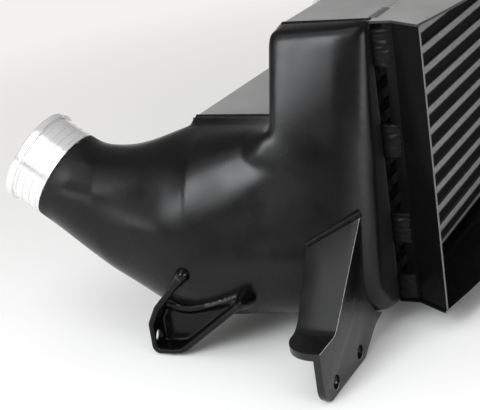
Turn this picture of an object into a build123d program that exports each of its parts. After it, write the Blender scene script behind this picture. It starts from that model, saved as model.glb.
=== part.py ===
from build123d import *
import os
from math import cos, hypot, radians, sin

# Air-to-air intercooler: a stepped bar-and-plate core between two cast end tanks,
# with a folded air guide in front of the core and welded mounting brackets below.
# Millimetres.  X runs along the core, Y points rearward, Z is up.  The origin is the
# centre of the core's front face.  Every piece at the left end (-X) is mirrored to
# the right end about the YZ plane.

# ---------------------------------------------------------------- driving sizes
# core
core_length = 520.0
channel_count = 12
channels_above_step = 4
bar_height = 5.7
bar_width = 6.0
sheet_thickness = 0.5
ambient_height = 9.1
header_bar_width = 8.0
plate_thickness = 3.0
upper_depth = 65.0
lower_depth = 144.0
ambient_fin_pitch = 7.0
ambient_fin_thickness = 0.4
charge_fin_pitch = 6.0
charge_fin_thickness = 0.3
fin_setback = 1.5
braze_film = 0.05

# end tanks
tank_lap = 3.0
tank_lap_top = 0.5
tank_wall = 4.0
front_belly_ease = 8.0
foot_ease_share = 0.5
front_shoulder_ease = 4.0
front_ease_depth = 8.0
rear_edge_ease = 4.0
shoulder_radius = 8.0
front_shoulder_radius = 10.0
shoulder_fall = 2.0
front_shoulder_reach = 15.0
mid_shoulder_reach = 20.0
rear_shoulder_reach = 24.0
front_belly_reach = 50.0
mid_belly_reach = 66.0
rear_belly_reach = 80.0
throat_belly_reach = 84.0
front_belly_radius = 36.0
mid_belly_radius = 44.0
rear_belly_radius = 50.0
throat_shoulder_reach = 74.0
throat_shoulder_drop = 12.0
throat_shoulder_radius = 36.0
tank_mid_station = 35.0
ledge_radius = 7.0
corner_ease = 0.2
elbow_run = 100.0
elbow_side_swell = 4.0
elbow_bottom_swell = 4.0
elbow_top_swell = 44.0

# elbow and hose spigot
spigot_radius = 35.0
spigot_wall = 4.0
spigot_angle = 34.0
spigot_overhang = 98.2
spigot_drop = 100.6
spigot_length = 30.0
lip_length = 6.0
lip_height = 2.0
lip_round = 4.0
lip_taper = 1.2
groove_count = 3
groove_pitch = 8.0
groove_width = 1.2
groove_depth = 0.9
socket_depth = 10.0
socket_wall = 2.0
socket_clearance = 0.05

# front bracket
bracket_thickness = 5.0
bracket_setback = 8.0
bracket_flange_width = 29.0
bracket_flange_root_width = 38.0
bracket_taper_run = 34.5
bracket_top_drop = 119.5
bracket_top_reach = 31.0
bracket_knee_reach = 101.0
bracket_knee_drop = 184.0
bracket_outer_reach = 128.5
bracket_bottom_drop = 222.5
bracket_heel_reach = 34.0
bracket_heel_drop = 209.0
bracket_root_reach = 10.0
bracket_root_drop = 204.0
bracket_knee_radius = 14.0
bracket_ear_radius = 13.0
bracket_foot_radius = 8.0
bracket_heel_radius = 10.0
bracket_lip_radius = 22.0
bracket_hole_radius = 5.0
bracket_hole_spacing = 43.0
bracket_hole_edge = 8.5
bracket_hole_inset = 20.0
bracket_hole_margin = 7.5

# rear lug
lug_thickness = 4.5
lug_web_thickness = 4.0
lug_inner_reach = 62.0
lug_outer_reach = 80.0
lug_arm_end_y = 130.0
lug_arm_end_drop = 155.0
lug_arm_run = 28.0
lug_arm_fall = 29.0
lug_back_run = 7.5
lug_back_fall = 14.0
lug_back_height = 24.0
lug_sole_run = 25.5
lug_sole_rise = 1.5
lug_root_run = 46.0
lug_root_fall = 23.0
lug_arm_radius = 6.0
lug_back_radius = 10.0
lug_foot_radius = 6.0
lug_sole_radius = 20.0
lug_hole_radius = 4.0
lug_hole_inset = 7.0
lug_hole_height = 12.5

# air guide
guide_thickness = 2.0
guide_gap = 8.0
guide_flange = 7.0
guide_flare_reach = 17.0
guide_end_depth = 38.8
guide_mid_depth = 55.0
guide_bow_length = 150.0
guide_overhang = 1.5

# welds
bead_rise = 1.0
bead_radius = 2.6
lug_bead_radius = 5.0
bead_width = 3.0
stitch_reach = 3.0
stitch_inset = 2.0
stitch_cover = 5.5
stitch_round = 2.0
stitch_lengths = (26.0, 23.0, 22.0, 18.0)
stitch_drops = (19.0, 84.0, 148.0, 192.5)
seam_bead_width = 6.0
seam_bead_height = 1.6
seam_bead_length = 25.0
seam_bead_count = 5
seam_bead_start = 5.0
seam_bead_round = 1.4

# ------------------------------------------------------------ worked-out sizes
channel_thickness = bar_height + 2 * sheet_thickness
layer_pitch = channel_thickness + ambient_height
core_height = channel_count * layer_pitch + ambient_height + 2 * plate_thickness
core_top = core_height / 2
core_bottom = -core_height / 2
half_length = core_length / 2
step_level = core_top - plate_thickness - channels_above_step * layer_pitch
tank_top = core_top + tank_lap_top
tank_bottom = core_bottom - tank_lap
ledge_top = step_level + tank_lap_top
upper_rear = upper_depth + tank_lap
lower_rear = lower_depth + tank_lap


def block(x_span, y_span, z_span, mode=Mode.ADD):
    """Add a box that fills the given X, Y and Z spans to the part being built."""
    spans = (x_span, y_span, z_span)
    centre = tuple((low + high) / 2 for low, high in spans)
    size = tuple(high - low for low, high in spans)
    with Locations(centre):
        Box(*size, mode=mode)


def channel_level(index):
    """Mid height of a charge-air channel, counted from the top."""
    return core_top - plate_thickness - ambient_height - channel_thickness / 2 - index * layer_pitch


def ambient_level(index):
    """Mid height of an ambient-air layer, counted from the top."""
    return core_top - plate_thickness - ambient_height / 2 - index * layer_pitch


def channel_depth(index):
    """Depth of a layer: the upper block is shallow, the block below the step is deep."""
    return upper_depth if index < channels_above_step else lower_depth


def span_about(middle, size):
    """The span of a given size centred on a value."""
    return middle - size / 2, middle + size / 2


os.makedirs("parts", exist_ok=True)
core_span = (-half_length, half_length)

# ------------------------------------------------------------------------ core
with BuildPart() as core_top_plate:
    block(core_span, (0, upper_depth), (core_top - plate_thickness, core_top))
core_top_plate.part.label = "core_top_plate"
export_step(core_top_plate.part, "parts/core_top_plate.step")

with BuildPart() as core_step_plate:
    block(core_span, (upper_depth, lower_depth), (step_level - plate_thickness, step_level))
core_step_plate.part.label = "core_step_plate"
export_step(core_step_plate.part, "parts/core_step_plate.step")

with BuildPart() as core_bottom_plate:
    block(core_span, (0, lower_depth), (core_bottom, core_bottom + plate_thickness))
core_bottom_plate.part.label = "core_bottom_plate"
export_step(core_bottom_plate.part, "parts/core_bottom_plate.step")

with BuildPart() as front_closing_bars:
    for index in range(channel_count):
        block(core_span, (0, bar_width), span_about(channel_level(index), bar_height))
front_closing_bars.part.label = "front_closing_bars"
export_step(front_closing_bars.part, "parts/front_closing_bars.step")

# The layer beside the step is full height in front and runs on under the step plate.
step_layer = channels_above_step
under_step_span = (ambient_level(step_layer) - ambient_height / 2, step_level - plate_thickness)
under_step_level = sum(under_step_span) / 2
under_step_height = under_step_span[1] - under_step_span[0]

with BuildPart() as header_bars_left:
    header_span = (-half_length, -half_length + header_bar_width)
    for index in range(channel_count + 1):
        depth = upper_depth if index == step_layer else channel_depth(index)
        block(header_span, (0, depth), span_about(ambient_level(index), ambient_height))
    block(header_span, (upper_depth, lower_depth), under_step_span)


def folded_fins(plane, along, layers, pitch, thickness):
    """Sketch of folded fin sheets, one for each (level, height), folding along a span."""
    start, end = along
    count = int((end - start) // pitch)
    first = (start + end) / 2 - count * pitch / 2
    half_fold = pitch / 2
    with BuildSketch(plane, mode=Mode.PRIVATE) as folds:
        for level, height in layers:
            rise = height - 2 * braze_film
            drop = thickness * hypot(half_fold, rise) / half_fold
            crests = [
                (first + step * half_fold, level + (rise / 2 if step % 2 == 0 else drop - rise / 2))
                for step in range(2 * count + 1)
            ]
            roots = [(place, height_here - drop) for place, height_here in reversed(crests)]
            with BuildLine():
                Polyline(*crests, *roots, close=True)
            make_face()
    return folds.sketch


def across_plane(station):
    """Plane facing the front of the core: local X runs along the core, local Y is Z."""
    return Plane(origin=(0, station, 0), x_dir=(1, 0, 0), z_dir=(0, -1, 0))


fin_reach = (-half_length + header_bar_width, half_length - header_bar_width)
end_face_plane = Plane(origin=(-half_length, 0, 0), x_dir=(0, 1, 0), z_dir=(1, 0, 0))

for group, first_index, last_index in (
    ("upper", 0, channels_above_step),
    ("lower", channels_above_step, channel_count),
):
    channels = range(first_index, last_index)
    depth = channel_depth(first_index)

    with BuildPart() as parting_sheets:
        for index in channels:
            for side in (-1, 1):
                level = channel_level(index) + side * (bar_height + sheet_thickness) / 2
                block(core_span, (0, depth), span_about(level, sheet_thickness))
    parting_sheets.part.label = f"parting_sheets_{group}"
    export_step(parting_sheets.part, f"parts/parting_sheets_{group}.step")

    with BuildPart() as rear_closing_bars:
        for index in channels:
            block(core_span, (depth - bar_width, depth), span_about(channel_level(index), bar_height))
    rear_closing_bars.part.label = f"rear_closing_bars_{group}"
    export_step(rear_closing_bars.part, f"parts/rear_closing_bars_{group}.step")

    with BuildPart() as charge_fins:
        layers = [(channel_level(index), bar_height) for index in channels]
        fold_span = (bar_width, depth - bar_width)
        folds = folded_fins(
            end_face_plane, fold_span, layers, charge_fin_pitch, charge_fin_thickness
        )
        extrude(folds, amount=core_length)
    charge_fins.part.label = f"charge_fins_{group}"
    export_step(charge_fins.part, f"parts/charge_fins_{group}.step")

with BuildPart() as ambient_fins_upper:
    layers = [(ambient_level(index), ambient_height) for index in range(step_layer + 1)]
    folds = folded_fins(
        across_plane(fin_setback), fin_reach, layers, ambient_fin_pitch, ambient_fin_thickness
    )
    extrude(folds, amount=2 * fin_setback - upper_depth)
ambient_fins_upper.part.label = "ambient_fins_upper"
export_step(ambient_fins_upper.part, "parts/ambient_fins_upper.step")

with BuildPart() as ambient_fins_lower:
    layers = [
        (ambient_level(index), ambient_height) for index in range(step_layer + 1, channel_count + 1)
    ]
    folds = folded_fins(
        across_plane(fin_setback), fin_reach, layers, ambient_fin_pitch, ambient_fin_thickness
    )
    extrude(folds, amount=2 * fin_setback - lower_depth)
ambient_fins_lower.part.label = "ambient_fins_lower"
export_step(ambient_fins_lower.part, "parts/ambient_fins_lower.step")

with BuildPart() as ambient_fins_under_step:
    layers = [(under_step_level, under_step_height)]
    folds = folded_fins(
        across_plane(upper_depth + fin_setback), fin_reach, layers,
        ambient_fin_pitch, ambient_fin_thickness,
    )
    extrude(folds, amount=upper_depth + 2 * fin_setback - lower_depth)
ambient_fins_under_step.part.label = "ambient_fins_under_step"
export_step(ambient_fins_under_step.part, "parts/ambient_fins_under_step.step")

# ------------------------------------------------------------------- end tanks
elbow_axis = Vector(0, cos(radians(spigot_angle)), sin(radians(spigot_angle)))
elbow_end = Vector(-half_length - spigot_radius, lower_depth + spigot_overhang, core_top - spigot_drop)
elbow_plane = Plane(origin=elbow_end, x_dir=(-1, 0, 0), z_dir=elbow_axis)
end_face_slope = (rear_belly_reach - rear_shoulder_reach) / (tank_top - shoulder_fall - tank_bottom)
ledge_reach = rear_belly_reach - end_face_slope * (ledge_top - tank_bottom)


def end_plane(station):
    """Upright plane across a tank: local X reaches outward from the core, local Y is Z."""
    return Plane(origin=(-half_length, station, 0), x_dir=(-1, 0, 0), z_dir=(0, 1, 0))


def rounded_section(plane, corners, radii):
    """Closed sketch through the corners, each rounded by its own radius."""
    with BuildSketch(plane) as section:
        with BuildLine():
            FilletPolyline(*corners, radius=radii, close=True)
        make_face()
    return section.sketch


def upper_section(station, belly, shoulder, inset, belly_ease=0.0, shoulder_ease=0.0):
    """Full-height tank section: a sloping end face between shoulder and belly.

    The belly and the shoulder are each a (reach, radius) pair, and the eases pull
    them in where the section runs out to a rounded front or rear edge.
    """
    foot = tank_bottom + inset + belly_ease * foot_ease_share
    crown = tank_top - inset - shoulder_ease / 2
    corners = (
        (inset, foot),
        (belly[0] - inset - belly_ease, foot),
        (shoulder[0] - inset - shoulder_ease, crown - shoulder_fall),
        (inset, crown),
    )
    radii = (
        corner_ease,
        belly[1] - inset - belly_ease,
        shoulder[1] - inset / 2 - shoulder_ease,
        corner_ease,
    )
    return rounded_section(end_plane(station), corners, radii)


def lower_section(station, belly_reach, shoulder_reach, shoulder_drop, shoulder_round, inset):
    """Tank section below the ledge."""
    corners = (
        (inset, tank_bottom + inset),
        (belly_reach - inset, tank_bottom + inset),
        (shoulder_reach - inset, ledge_top - shoulder_drop - inset),
        (inset, ledge_top - inset),
    )
    radii = (corner_ease, rear_belly_radius - inset, shoulder_round - inset, corner_ease)
    return rounded_section(end_plane(station), corners, radii)


def elbow_section(fraction, inset):
    """Elbow section, from the spigot (fraction 0) towards the tank's throat (fraction 1)."""
    swell = fraction * fraction * (3 - 2 * fraction)
    tilt = radians(spigot_angle * (1 - fraction * fraction))
    plane = Plane(
        origin=elbow_end - elbow_axis * (elbow_run * fraction),
        x_dir=(-1, 0, 0),
        z_dir=(0, cos(tilt), sin(tilt)),
    )
    inner = spigot_radius - inset
    outer = inner + elbow_side_swell * swell
    below = inner + elbow_bottom_swell * swell
    above = inner + elbow_top_swell * swell
    corners = ((-inner, -below), (outer, -below), (outer, above), (-inner, above))
    return rounded_section(plane, corners, (inner + outer) / 2 - corner_ease)


front_belly = (front_belly_reach, front_belly_radius)
mid_belly = (mid_belly_reach, mid_belly_radius)
rear_belly = (rear_belly_reach, rear_belly_radius)
front_shoulder = (front_shoulder_reach, front_shoulder_radius)
mid_shoulder = (mid_shoulder_reach, shoulder_radius)
rear_shoulder = (rear_shoulder_reach, shoulder_radius)
bend = 1 - cos(radians(45))


def add_lower_form(first_station, inset):
    """Add the lower tank from a station back, with its elbow, shrunk by the inset."""
    throat = lower_section(
        lower_rear, throat_belly_reach, throat_shoulder_reach, throat_shoulder_drop,
        throat_shoulder_radius, inset,
    )
    start = lower_section(first_station, rear_belly_reach, ledge_reach, 0, shoulder_radius, inset)
    loft(sections=[start, throat])
    loft(sections=[throat] + [elbow_section(step / 4, inset) for step in (3, 2, 1, 0)])


with BuildPart() as tank_form_left:
    front_station = front_ease_depth
    rear_station = upper_rear - rear_edge_ease
    loft(
        sections=[
            upper_section(
                0, front_belly, front_shoulder, 0, front_belly_ease, front_shoulder_ease
            ),
            upper_section(
                front_ease_depth * bend, front_belly, front_shoulder, 0,
                front_belly_ease * bend, front_shoulder_ease * bend,
            ),
            upper_section(front_station, front_belly, front_shoulder, 0),
        ]
    )
    loft(
        sections=[
            upper_section(front_station, front_belly, front_shoulder, 0),
            upper_section(tank_mid_station, mid_belly, mid_shoulder, 0),
            upper_section(rear_station, rear_belly, rear_shoulder, 0),
        ]
    )
    loft(
        sections=[
            upper_section(rear_station, rear_belly, rear_shoulder, 0),
            upper_section(
                upper_rear - rear_edge_ease * bend, rear_belly, rear_shoulder, 0,
                rear_edge_ease * bend, rear_edge_ease * bend,
            ),
            upper_section(upper_rear, rear_belly, rear_shoulder, 0, rear_edge_ease, rear_edge_ease),
        ]
    )
    add_lower_form(rear_station, 0)

with BuildPart() as tank_hollow_left:
    loft(
        sections=[
            upper_section(tank_wall, front_belly, front_shoulder, tank_wall),
            upper_section(tank_mid_station, mid_belly, mid_shoulder, tank_wall),
            upper_section(upper_rear - tank_wall, rear_belly, rear_shoulder, tank_wall),
        ]
    )
    add_lower_form(upper_rear - tank_wall, tank_wall)
    mouth = (-half_length - tank_wall - corner_ease, -half_length)
    rim_lap = tank_wall - tank_lap
    block(mouth, (tank_wall, upper_depth - rim_lap), (core_bottom + rim_lap, tank_top - tank_wall))
    block(mouth, (tank_wall, lower_depth - rim_lap), (core_bottom + rim_lap, ledge_top - tank_wall))

with BuildPart() as tank_left:
    add(tank_form_left.part)
    add(tank_hollow_left.part, mode=Mode.SUBTRACT)
    with BuildSketch(elbow_plane):
        Circle(spigot_radius - socket_wall)
    extrude(amount=-socket_depth, mode=Mode.SUBTRACT)

# ---------------------------------------------------------------- hose spigots
sleeve_radius = spigot_radius - socket_wall - socket_clearance
bore_radius = spigot_radius - spigot_wall
lip_radius = spigot_radius + lip_height
first_groove = spigot_length - lip_length - groove_pitch * groove_count + groove_pitch / 2

with BuildPart() as spigot_left:
    turning_plane = Plane(
        origin=elbow_end, x_dir=(-1, 0, 0), z_dir=Vector(-1, 0, 0).cross(elbow_axis)
    )
    with BuildSketch(turning_plane):
        with BuildLine():
            Polyline(
                (bore_radius, -socket_depth),
                (sleeve_radius, -socket_depth),
                (sleeve_radius, 0),
                (spigot_radius, 0),
                (spigot_radius, spigot_length - lip_length),
                (lip_radius, spigot_length - lip_length),
                (lip_radius, spigot_length - lip_round),
                (lip_radius - lip_taper, spigot_length),
                (bore_radius, spigot_length),
                close=True,
            )
        make_face()
        for index in range(groove_count):
            with Locations((spigot_radius, first_groove + index * groove_pitch)):
                Rectangle(2 * groove_depth, groove_width, mode=Mode.SUBTRACT)
    revolve(axis=Axis(elbow_end, elbow_axis))

# -------------------------------------------------------------- front brackets
bracket_plane = Plane(
    origin=(-half_length, bracket_setback, core_top), x_dir=(-1, 0, 0), z_dir=(0, 1, 0)
)
bracket_shoulder = (bracket_top_reach, -bracket_top_drop)
bracket_knee = (bracket_knee_reach, -bracket_knee_drop)
bracket_lip_end = (bracket_outer_reach, -bracket_knee_drop)
bracket_hole_drop = bracket_bottom_drop - bracket_hole_edge
bracket_first_hole_reach = bracket_outer_reach - bracket_hole_inset - bracket_hole_spacing
bracket_inner_reach = bracket_first_hole_reach - bracket_hole_margin
bracket_taper_reach = bracket_outer_reach - bracket_taper_run

with BuildPart() as front_bracket_left:
    with BuildSketch(bracket_plane):
        with BuildLine():
            FilletPolyline(
                bracket_shoulder,
                bracket_knee,
                bracket_lip_end,
                (bracket_outer_reach, -bracket_bottom_drop),
                (bracket_inner_reach, -bracket_bottom_drop),
                (bracket_heel_reach, -bracket_heel_drop),
                (bracket_root_reach, -bracket_root_drop),
                radius=(
                    0, bracket_knee_radius, 0, bracket_ear_radius,
                    bracket_foot_radius, bracket_heel_radius, 0,
                ),
                close=True,
            )
        make_face()
    extrude(amount=bracket_thickness)
    with BuildSketch(bracket_plane):
        with BuildLine():
            FilletPolyline(
                bracket_shoulder, bracket_knee, bracket_lip_end, radius=bracket_knee_radius
            )
            offset(amount=bracket_thickness, side=Side.RIGHT)
        make_face()
    extrude(amount=bracket_flange_root_width)
    with BuildSketch(Plane(origin=(-half_length, bracket_setback, core_bottom - core_height))):
        with BuildLine():
            Polyline(
                (-bracket_top_reach, bracket_flange_root_width),
                (-bracket_taper_reach, bracket_flange_width),
                (-bracket_outer_reach, bracket_flange_width),
                (-bracket_outer_reach, 2 * bracket_flange_root_width),
                (-bracket_top_reach, 2 * bracket_flange_root_width),
                close=True,
            )
        make_face()
    extrude(amount=2 * core_height, mode=Mode.SUBTRACT)
    lip_corner = front_bracket_left.edges().filter_by(Axis.Z).group_by(Axis.X)[0].sort_by(Axis.Y)[-1]
    fillet(lip_corner, radius=bracket_lip_radius)
    with BuildSketch(bracket_plane):
        for index in (0, 1):
            reach = bracket_first_hole_reach + index * bracket_hole_spacing
            with Locations((reach, -bracket_hole_drop)):
                Circle(bracket_hole_radius)
    extrude(amount=bracket_thickness, mode=Mode.SUBTRACT)
    add(tank_form_left.part, mode=Mode.SUBTRACT)

# ------------------------------------------------------------------ rear lugs
lug_plane = Plane(
    origin=(-half_length - lug_inner_reach, 0, core_top), x_dir=(0, 1, 0), z_dir=(-1, 0, 0)
)
lug_arm_end = (lug_arm_end_y, lug_arm_end_drop)
lug_root_end = (lug_arm_end_y - lug_root_run, lug_arm_end_drop + lug_root_fall)
lug_arm_y = lug_arm_end_y + lug_arm_run
lug_arm_drop = lug_arm_end_drop + lug_arm_fall
lug_back_y = lug_arm_y + lug_back_run
lug_back_drop = lug_arm_drop + lug_back_fall
lug_foot_drop = lug_back_drop + lug_back_height
lug_path = (
    lug_arm_end,
    (lug_arm_y, lug_arm_drop),
    (lug_back_y, lug_back_drop),
    (lug_back_y, lug_foot_drop),
    (lug_back_y - lug_sole_run, lug_foot_drop - lug_sole_rise),
    lug_root_end,
)
lug_radii = (lug_arm_radius, lug_back_radius, lug_foot_radius, lug_sole_radius)

with BuildPart() as rear_lug_left:
    with BuildSketch(lug_plane):
        with BuildLine():
            FilletPolyline(*lug_path, radius=(0, *lug_radii, 0), close=True)
        make_face()
    extrude(amount=lug_web_thickness)
    with BuildSketch(lug_plane):
        with BuildLine():
            FilletPolyline(*lug_path, radius=lug_radii)
            offset(amount=lug_thickness, side=Side.LEFT)
        make_face()
    extrude(amount=lug_outer_reach - lug_inner_reach)
    lug_hole_reach = lug_outer_reach - lug_hole_inset
    lug_hole_drop = lug_foot_drop - lug_hole_height
    lug_hole_centre = (-half_length - lug_hole_reach, lug_back_y, core_top - lug_hole_drop)
    with BuildSketch(Plane(origin=lug_hole_centre, x_dir=(-1, 0, 0), z_dir=(0, -1, 0))):
        Circle(lug_hole_radius)
    extrude(amount=lug_thickness, mode=Mode.SUBTRACT)
    add(tank_form_left.part, mode=Mode.SUBTRACT)

# ------------------------------------------------------------------- air guide
flange_start = -guide_gap
flange_end = -guide_gap - guide_flange
guide_side_heights = (core_bottom + guide_thickness, core_top - guide_thickness)
guide_corner_reach = guide_flare_reach + guide_overhang
guide_edge_reach = guide_thickness + guide_overhang

with BuildPart() as guide_side_left:
    with BuildSketch(Plane(origin=(-half_length, 0, guide_side_heights[0]))):
        with BuildLine():
            Polyline(
                (-guide_thickness, flange_start),
                (-guide_thickness, flange_end),
                (-guide_flare_reach, -guide_end_depth),
            )
            offset(amount=guide_thickness, side=Side.LEFT)
        make_face()
    extrude(amount=guide_side_heights[1] - guide_side_heights[0])

with BuildPart() as guide_top_plate:
    with BuildSketch(Plane.XY.offset(core_top - guide_thickness)) as guide_outline:
        with BuildLine():
            outer = half_length + guide_corner_reach
            Polyline(
                (0, 0),
                (-half_length - guide_edge_reach, 0),
                (-half_length - guide_edge_reach, flange_end),
                (-outer, -guide_end_depth),
            )
            TangentArc(
                (guide_bow_length - outer, -guide_mid_depth), (-outer, -guide_end_depth),
                tangent=(-1, 0),
            )
            Line((guide_bow_length - outer, -guide_mid_depth), (0, -guide_mid_depth))
            Line((0, -guide_mid_depth), (0, 0))
        make_face()
        mirror(about=Plane.YZ)
    extrude(amount=guide_thickness)

with BuildPart() as guide_bottom_plate:
    with Locations((0, 0, guide_thickness - core_height)):
        add(guide_top_plate.part)

# ----------------------------------------------------------------------- welds
with BuildPart() as tank_weld_left:
    weld_plane = Plane(origin=(-half_length, 0, 0), x_dir=(0, 1, 0), z_dir=(1, 0, 0))
    weld_path = (
        (0, core_top),
        (upper_depth, core_top),
        (upper_depth, step_level),
        (lower_depth, step_level),
        (lower_depth, core_bottom),
        (0, core_bottom),
    )
    with BuildSketch(weld_plane):
        with BuildLine():
            Polyline(*weld_path, close=True)
        make_face()
        offset(amount=bead_rise, mode=Mode.REPLACE)
        with BuildLine():
            Polyline(*weld_path, close=True)
        make_face(mode=Mode.SUBTRACT)
        with Locations((-bead_rise, 0)):
            Rectangle(2 * bead_rise, 2 * core_height, mode=Mode.SUBTRACT)
    extrude(amount=bead_width)


def weld_along(seam, radius):
    """Round bead that follows one seam edge."""
    with BuildPart(mode=Mode.PRIVATE) as bead:
        with BuildLine() as path:
            add(seam)
        with BuildSketch(Plane(origin=path.line @ 0, z_dir=path.line % 0)):
            Circle(radius)
        sweep(path=path.line)
    return bead.part


flange_faces = front_bracket_left.faces().filter_by(
    lambda face: face.normal_at().Z > 0.5 and face.normal_at().X < -0.5
)
flange_seam = flange_faces.sort_by(SortBy.AREA)[-1].edges().sort_by(Axis.Z)[-1]
bracket_bead = weld_along(flange_seam, bead_radius)
with BuildPart() as bracket_welds_left:
    add(bracket_bead)
    add(tank_form_left.part, mode=Mode.SUBTRACT)
    add(front_bracket_left.part, mode=Mode.SUBTRACT)

web_reach = lug_inner_reach + lug_web_thickness
web_face = rear_lug_left.faces().filter_by(Axis.X).filter_by(
    lambda face: abs(face.center().X + half_length + web_reach) < braze_film
).sort_by(SortBy.AREA)[-1]
web_seam = web_face.edges().filter_by(GeomType.BSPLINE).sort_by(SortBy.LENGTH)[-1]
lug_beads = [weld_along(web_seam, bead_radius)]
for end_y, end_drop in (lug_arm_end, lug_root_end):
    with BuildLine(mode=Mode.PRIVATE) as end_line:
        Line(
            (-half_length - lug_inner_reach, end_y, core_top - end_drop),
            (-half_length - lug_outer_reach + lug_thickness, end_y, core_top - end_drop),
        )
    lug_beads.append(weld_along(end_line.line, lug_bead_radius))
with BuildPart() as lug_welds_left:
    for piece in lug_beads:
        add(piece)
    add(tank_form_left.part, mode=Mode.SUBTRACT)
    add(rear_lug_left.part, mode=Mode.SUBTRACT)

with BuildPart() as stitch_welds_left:
    for drop, length in zip(stitch_drops, stitch_lengths):
        block(
            (-half_length - stitch_reach, -half_length + stitch_inset),
            (-guide_gap - stitch_cover, 0),
            span_about(core_top - drop, length),
        )
    fillet(stitch_welds_left.edges().group_by(Axis.Y)[0], radius=stitch_round)
    add(guide_side_left.part, mode=Mode.SUBTRACT)

with BuildPart() as guide_seam_welds_top:
    for index in range(seam_bead_count):
        start = -half_length + seam_bead_start + index * (
            (core_length - 2 * seam_bead_start - seam_bead_length) / (seam_bead_count - 1)
        )
        block(
            (start, start + seam_bead_length),
            span_about(0, seam_bead_width),
            (core_top, core_top + seam_bead_height),
        )
    fillet(guide_seam_welds_top.edges().group_by(Axis.Z)[-1], radius=seam_bead_round)

with BuildPart() as guide_seam_welds_bottom:
    mirror(guide_seam_welds_top.part, about=Plane.XY)

# ---------------------------------------------------------------------- output
shared_pieces = {
    "guide_top_plate": guide_top_plate,
    "guide_bottom_plate": guide_bottom_plate,
    "guide_seam_welds_top": guide_seam_welds_top,
    "guide_seam_welds_bottom": guide_seam_welds_bottom,
}
for name, piece in shared_pieces.items():
    piece.part.label = name
    export_step(piece.part, f"parts/{name}.step")

end_pieces = {
    "header_bars": header_bars_left,
    "tank": tank_left,
    "spigot": spigot_left,
    "front_bracket": front_bracket_left,
    "rear_lug": rear_lug_left,
    "guide_side": guide_side_left,
    "tank_weld": tank_weld_left,
    "bracket_weld": bracket_welds_left,
    "lug_welds": lug_welds_left,
    "stitch_welds": stitch_welds_left,
}
for name, left_piece in end_pieces.items():
    left_piece.part.label = f"{name}_left"
    export_step(left_piece.part, f"parts/{name}_left.step")
    with BuildPart() as right_piece:
        mirror(left_piece.part, about=Plane.YZ)
    right_piece.part.label = f"{name}_right"
    export_step(right_piece.part, f"parts/{name}_right.step")
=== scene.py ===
import logging
import math
from contextlib import contextmanager
from dataclasses import dataclass, replace
from enum import Enum
from typing import Iterator, Optional, Sequence

import bmesh
import bpy
import numpy as np
from mathutils import Matrix, Vector
from mathutils.bvhtree import BVHTree


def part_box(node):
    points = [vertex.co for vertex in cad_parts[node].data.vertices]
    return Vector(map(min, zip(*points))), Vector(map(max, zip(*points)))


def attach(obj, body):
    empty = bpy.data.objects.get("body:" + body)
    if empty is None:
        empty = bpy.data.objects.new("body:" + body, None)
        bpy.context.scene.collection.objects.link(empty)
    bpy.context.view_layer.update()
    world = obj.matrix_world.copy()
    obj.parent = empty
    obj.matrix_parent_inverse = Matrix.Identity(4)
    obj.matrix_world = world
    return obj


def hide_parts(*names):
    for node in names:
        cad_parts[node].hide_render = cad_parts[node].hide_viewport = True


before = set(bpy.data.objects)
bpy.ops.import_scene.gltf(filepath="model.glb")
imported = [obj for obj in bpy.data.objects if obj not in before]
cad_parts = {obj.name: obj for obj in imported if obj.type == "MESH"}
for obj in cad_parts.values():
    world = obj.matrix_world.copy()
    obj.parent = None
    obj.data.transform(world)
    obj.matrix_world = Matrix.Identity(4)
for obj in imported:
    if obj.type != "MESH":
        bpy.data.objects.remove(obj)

log = logging.getLogger("intercooler")
Point = tuple[float, float, float]
Socket = bpy.types.NodeSocket
MM = 0.001
# The right-hand spigot's seat.
SPIGOT_CENTRE: Point = (295 * MM, 242.2 * MM, 1.75 * MM)
SPIGOT_TILT = math.radians(34.0)
SPIGOT_AXIS: Point = (0.0, math.cos(SPIGOT_TILT), math.sin(SPIGOT_TILT))
# Points closer than this are one point.
DOUBLED_WITHIN = 0.002 * MM
# Most of a noise pattern's values lie between these two.
PATTERN_START = 0.3
PATTERN_END = 0.7
# Run of one wave of the wave texture at scale 1.
WAVE_RUN = 0.314
# The background's warm white.
PALE = (1.0, 0.985, 0.97, 1.0)


class End(Enum):
    """The two ends of the core; the value is the sign of X there."""

    LEFT = -1
    RIGHT = 1

    @property
    def word(self) -> str:
        """Name used in node names."""
        return self.name.lower()

    def at(self, point: Point) -> Point:
        """A point given for the right-hand end, brought to this end."""
        return (self.value * point[0], *point[1:])


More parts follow.
